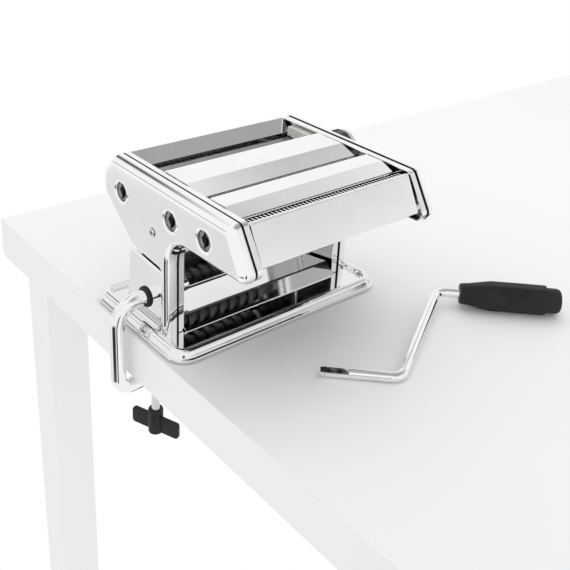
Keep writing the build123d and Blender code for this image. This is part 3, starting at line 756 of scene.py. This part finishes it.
class PASTA_OT_fasteners(bpy.types.Operator):
    """Cover screws with their cross recess"""

    bl_idname = "pasta.fasteners"
    bl_label = "Cover screws"

    def execute(self, context):
        finish = finishes()
        bm = bmesh.new()
        for side in (-1, 1):
            head = [(-6.0, 1.7), (-0.1, 1.7), (0.0, 3.8), (0.7, 3.8), (1.2, 3.3), (1.5, 2.4), (1.5, 0.1)]
            lathe(bm, [(side * (COVER_X + out), radius) for out, radius in head], COVER_SCREW, 32)
        new_piece("cover_screw_heads", bm, "frame", finish["bright"], 40.0, ("cover_screws",))
        # Near-black crosses and a thin ring round each head: painted shade in the cross recess and in the gap
        # at the head's edge.
        bm = bmesh.new()
        for side in (-1, 1):
            x = side * (COVER_X + 1.45)
            for size in ((2.5, 0.5), (0.5, 2.5)):
                low = (min(x, x + side * 0.1), COVER_SCREW[0] - size[0], COVER_SCREW[1] - size[1])
                high = (max(x, x + side * 0.1), COVER_SCREW[0] + size[0], COVER_SCREW[1] + size[1])
                block(bm, low, high, 0.0)
            gap = [(0.0, 3.85), (0.12, 3.85), (0.12, 4.25), (0.0, 4.25)]
            hollow_lathe(bm, [(side * (COVER_X + out), radius) for out, radius in gap], COVER_SCREW, 32)
        new_piece("cover_screw_crosses", bm, "frame", finish["bore"], 40.0)
        return {"FINISHED"}


class PASTA_OT_regulator(bpy.types.Operator):
    """Gap regulator: knob, end cap and dial ring"""

    bl_idname = "pasta.regulator"
    bl_label = "Gap regulator"

    def execute(self, context):
        finish = finishes()
        bm = bmesh.new()
        steps = 120
        rings = []
        for x, low, high in [(113.5, 18.6, 19.2), (114.3, 19.6, 20.8),
                             (132.6, 19.6, 20.8), (133.5, 19.0, 19.6)]:
            ring = []
            for k in range(steps):
                a = 2 * math.pi * k / steps
                lobe = max(0.0, math.cos(10 * a)) ** 0.45
                radius = low + (high - low) * lobe
                ring.append((x, SMOOTH_FRONT[0] + radius * math.cos(a), SMOOTH_FRONT[1] + radius * math.sin(a)))
            rings.append(ring)
        skin(bm, rings)
        new_piece("regulator_grip", bm, "knob", finish["knob"], 32.0, ("regulator_knob",))
        bm = bmesh.new()
        lathe(bm, [(133.5, 19.8), (136.6, 19.8)] + soft_steps(136.6, 19.8, 139.0, 17.2), SMOOTH_FRONT, 64)
        new_piece("regulator_end_cap", bm, "knob", finish["cap"], 32.0)
        bm = bmesh.new()
        hollow_lathe(bm, [(109.0, 6.0), (111.0, 6.0), (111.0, 18.8), (110.2, 19.5), (109.0, 19.5)],
                     SMOOTH_FRONT, 64)
        new_piece("regulator_dial", bm, "frame", finish["cap"], 32.0, ("dial_ring",))
        return {"FINISHED"}


# ---------------------------------------------------------------- clamp


class PASTA_OT_clamp(bpy.types.Operator):
    """Table clamp: bent bar, grommet, screw, pad and wing"""

    bl_idname = "pasta.clamp"
    bl_label = "Table clamp"

    def execute(self, context):
        finish = finishes()
        bm = bmesh.new()
        path = [(-64.0, CLAMP_Z), (-136.5, CLAMP_Z), (-136.5, -58.0), (-89.0, -58.0)]
        rod(bm, [(x, CLAMP_Y, z) for x, z in path], 7.0, (22.0, 13.0), 36)
        new_piece("clamp_bent_bar", bm, "clamp", finish["rod"], 40.0, ("clamp_bar",))
        bm = bmesh.new()
        hollow_lathe(bm, [(-105.0, 7.1), (-105.0, 8.5), (-106.6, 8.5), (-106.6, 9.7), (-106.9, 9.9),
                          (-107.7, 9.9), (-108.3, 9.5), (-108.6, 8.8), (-108.6, 7.5),
                          (-108.4, 7.1)], (CLAMP_Y, CLAMP_Z), 48)
        new_piece("clamp_grommet_ring", bm, "clamp_ring", finish["grip"], 40.0,
                  ("clamp_grommet",))
        pitch = context.scene.pasta_machine.thread_pitch
        bm = bmesh.new()
        low, high = -112.0, -47.15
        steps = 24
        turns = (high - low - 3.0) / pitch
        rings = []
        count = int(turns * 8)
        for k in range(count + 1):
            z = low + 1.5 + (high - low - 3.0) * k / count
            ring = []
            for i in range(steps):
                a = 2 * math.pi * i / steps
                phase = (z / pitch - i / steps) % 1.0
                radius = 3.35 + 0.62 * (1 - abs(2 * phase - 1))
                ring.append((SCREW_X + radius * math.cos(a), CLAMP_Y + radius * math.sin(a), z))
            rings.append(ring)
        ends = [[(x, y, z) for x, y in circle((SCREW_X, CLAMP_Y), 3.0, steps)] for z in (low, high)]
        skin(bm, [ends[0]] + rings + [ends[1]])
        new_piece("clamp_threaded_screw", bm, "screw", finish["bright"], 60.0,
                  ("clamp_screw",))
        bm = bmesh.new()
        lathe(bm, [(-49.6, 5.0), (-49.6, 10.2), (-49.2, 10.8), (-48.6, 11.0),
                   (-46.6, 11.0), (-46.0, 10.8), (-45.6, 10.2), (-45.6, 0.1)], steps=48)
        bmesh.ops.transform(bm, matrix=Matrix.Translation((SCREW_X, CLAMP_Y, 0)) @ X_TO_Z, verts=bm.verts)
        new_piece("clamp_round_pad", bm, "pad", finish["bright"], 40.0, ("clamp_pad",))
        bm = bmesh.new()
        lathe(bm, [(-124.0, 6.3), (-123.6, 7.0), (-122.9, 7.3), (-98.6, 7.3),
                   (-97.5, 6.9), (-97.0, 5.6), (-97.0, 4.0)], steps=36)
        bmesh.ops.transform(bm, matrix=X_TO_Z, verts=bm.verts)
        turn = Matrix.Rotation(math.radians(-69.0), 4, "Z")
        wing = bmesh.new()
        half, top, bottom = 27.0, -105.5, -122.5
        corners = [(-half, bottom, 3.2), (half, bottom, 3.2), (half, top, 3.2), (-half, top, 3.2)]
        rings = []
        for y, inset in [(-2.3, 0.9), (-2.1, 0.35), (-1.6, 0.0), (1.6, 0.0), (2.1, 0.35), (2.3, 0.9)]:
            rings.append([(p[0], y, p[1]) for p in outline(corners, inset, 6)])
        skin(wing, rings)
        mesh = bpy.data.meshes.new("wing")
        bmesh.ops.transform(wing, matrix=turn, verts=wing.verts)
        wing.to_mesh(mesh)
        wing.free()
        bm.from_mesh(mesh)
        bpy.data.meshes.remove(mesh)
        bmesh.ops.translate(bm, vec=(SCREW_X, CLAMP_Y, 0), verts=bm.verts)
        new_piece("clamp_wing", bm, "screw", finish["grip"], 45.0, ("wing_grip",))
        return {"FINISHED"}


# ---------------------------------------------------------------- crank

CRANK_HEADING = math.radians(-44.4)
ALONG = Vector((math.cos(CRANK_HEADING), math.sin(CRANK_HEADING), 0.0))
ASIDE = Vector((-math.sin(CRANK_HEADING), math.cos(CRANK_HEADING), 0.0))
CRANK_TIP = Vector((-29.0, -149.5, 4.5))
LOW_BEND = CRANK_TIP + ALONG * 68.5
HIGH_BEND = LOW_BEND + ALONG * 39.9 + ASIDE * 133.7 + Vector((0, 0, 9.3))
GRIP_FACE = HIGH_BEND + ALONG * 21.9


def grip_ring(distance, radius, squareness, steps=64):
    """Eight-sided ring with rounded corners round the grip's axis."""
    ring = []
    for k in range(steps):
        a = 2 * math.pi * k / steps
        facet = (a + math.pi / 8) % (math.pi / 4) - math.pi / 8
        flat = radius / math.cos(facet)
        size = radius * 1.028 * (1 - squareness) + squareness * min(flat, radius * 1.055)
        around = ASIDE * size * math.cos(a) + Vector((0, 0, 1)) * size * math.sin(a)
        ring.append(GRIP_FACE + ALONG * distance + around)
    return ring


class PASTA_OT_crank(bpy.types.Operator):
    """Loose crank with its pin and black grip"""

    bl_idname = "pasta.crank"
    bl_label = "Crank"

    def execute(self, context):
        finish = finishes()
        bm = bmesh.new()
        path = [CRANK_TIP, LOW_BEND, HIGH_BEND, GRIP_FACE + ALONG * 92.3]
        rod(bm, path, 4.5, 12.0, 48, 0.8, flat=(24.0, CRANK_TIP.z + 1.8))
        new_piece("crank_bent_rod", bm, "crank", finish["rod"], 40.0, ("crank_rod",))
        bm = bmesh.new()
        lathe(bm, [(-6.2, 1.0), (-5.9, 1.4), (5.9, 1.4), (6.2, 1.0)], (0.0, 0.0), 24)
        place = Matrix.Translation(CRANK_TIP + ALONG * 4) @ ASIDE.to_track_quat("X", "Z").to_matrix().to_4x4()
        bmesh.ops.transform(bm, matrix=place, verts=bm.verts)
        new_piece("crank_cross_pin", bm, "crank", finish["bright"], 40.0, ("crank_pin",))
        bm = bmesh.new()
        profile = [(0.0, 8.9, 0.0), (0.5, 9.6, 0.0), (1.4, 9.8, 0.0), (8.0, 10.4, 0.3), (16.0, 11.6, 0.7),
                   (24.0, 12.9, 1.0), (29.4, 13.65, 1.0), (30.6, 13.75, 1.0), (60.0, 13.8, 1.0),
                   (81.6, 13.7, 1.0), (82.6, 13.3, 0.9), (83.0, 12.3, 0.2), (83.6, 12.0, 0.0),
                   (93.0, 11.8, 0.0), (95.4, 11.0, 0.0), (96.6, 9.6, 0.0), (97.0, 7.6, 0.0)]
        skin(bm, [grip_ring(*p) for p in profile], last_cap=False)
        inner = [grip_ring(97.0, 7.4, 0.0), grip_ring(92.3, 7.4, 0.0)]
        skin(bm, inner, first_cap=False)
        new_piece("crank_handle", bm, "grip", finish["grip"], 32.0, ("crank_grip",))
        return {"FINISHED"}


# ---------------------------------------------------------------- carried-over parts


class PASTA_OT_carried(bpy.types.Operator):
    """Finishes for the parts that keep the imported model's shape"""

    bl_idname = "pasta.carried"
    bl_label = "Inner parts"

    def execute(self, context):
        finish = finishes()
        by_node = {
            "base_screws": "bright", "rear_scraper": "comb", "front_scraper": "comb", "dough_guides": "white",
            "tie_rods": "bright", "cover_posts": "bright", "bearing_bushes": "white", "gap_bushes": "white",
            "gap_slide": "bright", "knob_spindle": "bright", "knob_spring": "bright", "grip_cap": "bright",
            "smooth_gear_rear": "gear", "smooth_gear_front": "gear", "wide_gear_rear": "gear",
            "wide_gear_front": "gear", "fine_gear_rear": "gear", "fine_gear_front": "gear",
        }
        for node, kind in by_node.items():
            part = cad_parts[node]
            if not part.material_slots:
                part.data.materials.append(finish[kind])
            for place in part.material_slots:
                place.link = "OBJECT"
                place.material = finish[kind]
        return {"FINISHED"}


# ---------------------------------------------------------------- stage


def plain_material(name, colour, rough):
    """Plain stage colour with a faint grain."""
    material, nodes, links, shader = start_material(name)
    if nodes is None:
        return material
    grain = noise(nodes, links, 3.0, detail=2.0)
    darker = tuple(0.985 * c for c in colour)
    links.new(tint(nodes, links, ramp(nodes, links, grain, 0.0, 1.0), darker, colour),
              shader.inputs["Base Color"])
    shader.inputs["Roughness"].default_value = rough
    return material


def stage_block(name, low, high, material):
    bm = bmesh.new()
    block(bm, low, high, 0.0)
    bmesh.ops.recalc_face_normals(bm, faces=bm.faces)
    bmesh.ops.scale(bm, vec=(MM, MM, MM), verts=bm.verts)
    mesh = bpy.data.meshes.new(name)
    bm.to_mesh(mesh)
    bm.free()
    thing = bpy.data.objects.new(name, mesh)
    bpy.context.scene.collection.objects.link(thing)
    mesh.materials.append(material)


def soft_lamp(name, place, target, size, power):
    lamp = bpy.data.lights.new(name, "AREA")
    lamp.shape = "RECTANGLE"
    lamp.size, lamp.size_y = size
    lamp.energy = power
    thing = bpy.data.objects.new(name, lamp)
    thing.location = place
    thing.rotation_euler = (Vector(target) - Vector(place)).to_track_quat("-Z", "Y").to_euler()
    thing.visible_camera = False
    thing.visible_glossy = False
    bpy.context.scene.collection.objects.link(thing)


def soft_edge(nodes, links, coordinate, share):
    """1 in the middle of a card, falling to 0 at the two edges that a coordinate crosses."""
    mirrored = nodes.new("ShaderNodeMath")
    mirrored.operation = "SUBTRACT"
    mirrored.inputs[0].default_value = 1.0
    links.new(coordinate, mirrored.inputs[1])
    nearest = nodes.new("ShaderNodeMath")
    nearest.operation = "MINIMUM"
    links.new(coordinate, nearest.inputs[0])
    links.new(mirrored.outputs["Value"], nearest.inputs[1])
    fade = nodes.new("ShaderNodeMapRange")
    fade.interpolation_type = "SMOOTHSTEP"
    fade.inputs["From Max"].default_value = share
    links.new(nearest.outputs["Value"], fade.inputs["Value"])
    return fade.outputs["Result"]


def reflected_card(name, towards, far, size, grey, fade):
    """Card that only the metal sees, facing the machine, whose edges melt into the white round it."""
    material = bpy.data.materials.new(name)
    material.use_nodes = True
    nodes, links = material.node_tree.nodes, material.node_tree.links
    nodes.clear()
    out = nodes.new("ShaderNodeOutputMaterial")
    glow = nodes.new("ShaderNodeEmission")
    place = nodes.new("ShaderNodeTexCoord")
    apart = nodes.new("ShaderNodeSeparateXYZ")
    links.new(place.outputs["Generated"], apart.inputs["Vector"])
    both = nodes.new("ShaderNodeMath")
    both.operation = "MULTIPLY"
    links.new(soft_edge(nodes, links, apart.outputs["X"], fade), both.inputs[0])
    links.new(soft_edge(nodes, links, apart.outputs["Y"], fade), both.inputs[1])
    glow.inputs["Color"].default_value = (grey, grey, grey, 1)
    clear = nodes.new("ShaderNodeBsdfTransparent")
    blend = nodes.new("ShaderNodeMixShader")
    links.new(both.outputs["Value"], blend.inputs["Fac"])
    links.new(clear.outputs["BSDF"], blend.inputs[1])
    links.new(glow.outputs["Emission"], blend.inputs[2])
    links.new(blend.outputs["Shader"], out.inputs["Surface"])
    bm = bmesh.new()
    bmesh.ops.create_grid(bm, x_segments=1, y_segments=1, size=0.5)
    bmesh.ops.scale(bm, vec=(size[0], size[1], 1.0), verts=bm.verts)
    mesh = bpy.data.meshes.new(name)
    bm.to_mesh(mesh)
    bm.free()
    mesh.materials.append(material)
    card = bpy.data.objects.new(name, mesh)
    direction = Vector(towards).normalized()
    card.location = direction * far
    card.rotation_euler = direction.to_track_quat("Z", "Y").to_euler()
    bpy.context.scene.collection.objects.link(card)
    card.visible_camera = False
    card.visible_diffuse = False
    card.visible_shadow = False


class PASTA_OT_stage(bpy.types.Operator):
    """Table, white surroundings, lamps and camera"""

    bl_idname = "pasta.stage"
    bl_label = "Stage"

    def execute(self, context):
        sizes = context.scene.pasta_machine
        table = plain_material("Table_white", tuple(sizes.table_colour), 0.55)
        stage_block("table_top", (-125.1, -1400.0, -45.5), (1500.0, 281.0, -0.02), table)
        stage_block("table_leg", (-125.1, 171.0, -750.0), (-80.5, 215.6, -45.5), table)
        world = bpy.data.worlds.new("White_studio")
        context.scene.world = world
        world.use_nodes = True
        nodes, links = world.node_tree.nodes, world.node_tree.links
        nodes.clear()
        out = nodes.new("ShaderNodeOutputWorld")
        soft = nodes.new("ShaderNodeBackground")
        soft.inputs["Color"].default_value = (0.98, 0.99, 1.0, 1)
        soft.inputs["Strength"].default_value = 0.95 * sizes.lamp_power
        seen = nodes.new("ShaderNodeBackground")
        seen.inputs["Color"].default_value = (1, 1, 1, 1)
        seen.inputs["Strength"].default_value = 1.0
        path = nodes.new("ShaderNodeLightPath")
        mirrored = nodes.new("ShaderNodeMath")
        mirrored.use_clamp = True
        links.new(path.outputs["Is Camera Ray"], mirrored.inputs[0])
        links.new(path.outputs["Is Glossy Ray"], mirrored.inputs[1])
        through = nodes.new("ShaderNodeMath")
        through.use_clamp = True
        links.new(mirrored.outputs["Value"], through.inputs[0])
        links.new(path.outputs["Is Transmission Ray"], through.inputs[1])
        pick = nodes.new("ShaderNodeMixShader")
        links.new(through.outputs["Value"], pick.inputs["Fac"])
        links.new(soft.outputs["Background"], pick.inputs[1])
        links.new(seen.outputs["Background"], pick.inputs[2])
        links.new(pick.outputs["Shader"], out.inputs["Surface"])
        soft_lamp("Key_above", (0.5, 0.35, 1.3), (0, 0, 0.08), (1.2, 1.2), 3.0 * sizes.lamp_power)
        for name, towards, far, size, grey, fade in (
                ("card_behind_camera", (-0.56, -0.72, -0.30), 2.0, (0.6, 2.4), 0.02, 0.25),
                ("card_left", (-0.88, -0.15, -0.45), 2.0, (2.2, 1.2), 0.03, 0.3),
                ("card_left_back", (-0.68, 0.71, 0.12), 2.0, (1.6, 0.16), 0.05, 0.3),
                ("card_right_low", (0.93, -0.35, 0.06), 2.0, (0.3, 0.6), 0.04, 0.3),
                ("card_low_left", (-0.56, 0.67, -0.49), 2.2, (1.8, 1.4), 0.80, 0.3),
                ("card_back_high", (-0.1, 0.75, 0.62), 2.1, (1.3, 0.8), 0.10, 0.45),
                ("card_high_right", (0.60, 0.34, 0.73), 2.2, (1.5, 1.1), 0.58, 0.45),
                ("card_front_right", (0.58, -0.71, 0.40), 2.0, (1.5, 1.0), 0.76, 0.45),
                ("card_overhead", (0.25, -0.35, 0.90), 1.66, (2.8, 2.2), 0.40, 0.3)):
            reflected_card(name, towards, far, size, grey, fade)
        camera = bpy.data.cameras.new("Camera")
        camera.sensor_width = 36.0
        camera.sensor_fit = "HORIZONTAL"
        # Where the camera stands and looks: fitted to the framing, with a smaller shift than its best fit
        az, el, roll = math.radians(-41.178), math.radians(22.751), math.radians(3.073)
        focal_px, centre_x, centre_y, frame_px = 856.05, 285.0, 175.0, 570.0
        camera.lens = focal_px / frame_px * camera.sensor_width
        camera.shift_x = (frame_px / 2 - centre_x) / frame_px
        camera.shift_y = -(frame_px / 2 - centre_y) / frame_px
        camera.clip_start = 0.02
        right = Vector((math.cos(az), math.sin(az), 0.0))
        back = Vector((math.sin(az) * math.cos(el), -math.cos(az) * math.cos(el), math.sin(el)))
        up = back.cross(right)
        turned_right = right * math.cos(roll) + up * math.sin(roll)
        turned_up = up * math.cos(roll) - right * math.sin(roll)
        thing = bpy.data.objects.new("Camera", camera)
        axes = Matrix((turned_right, turned_up, back)).transposed().to_4x4()
        thing.matrix_world = Matrix.Translation(Vector((-0.45530, -0.57829, 0.43494))) @ axes
        context.scene.collection.objects.link(thing)
        context.scene.camera = thing
        context.scene.view_settings.view_transform = "Standard"
        return {"FINISHED"}


class PASTA_PT_panel(bpy.types.Panel):
    """Pasta machine"""

    bl_idname = "PASTA_PT_panel"
    bl_label = "Pasta machine"
    bl_space_type = "VIEW_3D"
    bl_region_type = "UI"
    bl_category = "Pasta machine"

    def draw(self, context):
        sizes = context.scene.pasta_machine
        for name in PASTA_PG_settings.__annotations__:
            self.layout.prop(sizes, name)
        for operator in OPERATORS:
            self.layout.operator(operator.bl_idname)


OPERATORS = (
    PASTA_OT_housings, PASTA_OT_base, PASTA_OT_sheets, PASTA_OT_rollers, PASTA_OT_combs, PASTA_OT_fasteners,
    PASTA_OT_regulator, PASTA_OT_clamp, PASTA_OT_crank, PASTA_OT_carried, PASTA_OT_stage,
)
CLASSES = (PASTA_PG_settings, *OPERATORS, PASTA_PT_panel)


def register():
    for cls in CLASSES:
        bpy.utils.register_class(cls)
    bpy.types.Scene.pasta_machine = PointerProperty(type=PASTA_PG_settings)


def unregister():
    del bpy.types.Scene.pasta_machine
    for cls in reversed(CLASSES):
        bpy.utils.unregister_class(cls)


def main():
    register()
    for operator in OPERATORS:
        group, name = operator.bl_idname.split(".")
        getattr(getattr(bpy.ops, group), name)()


if __name__ == "__main__":
    main()
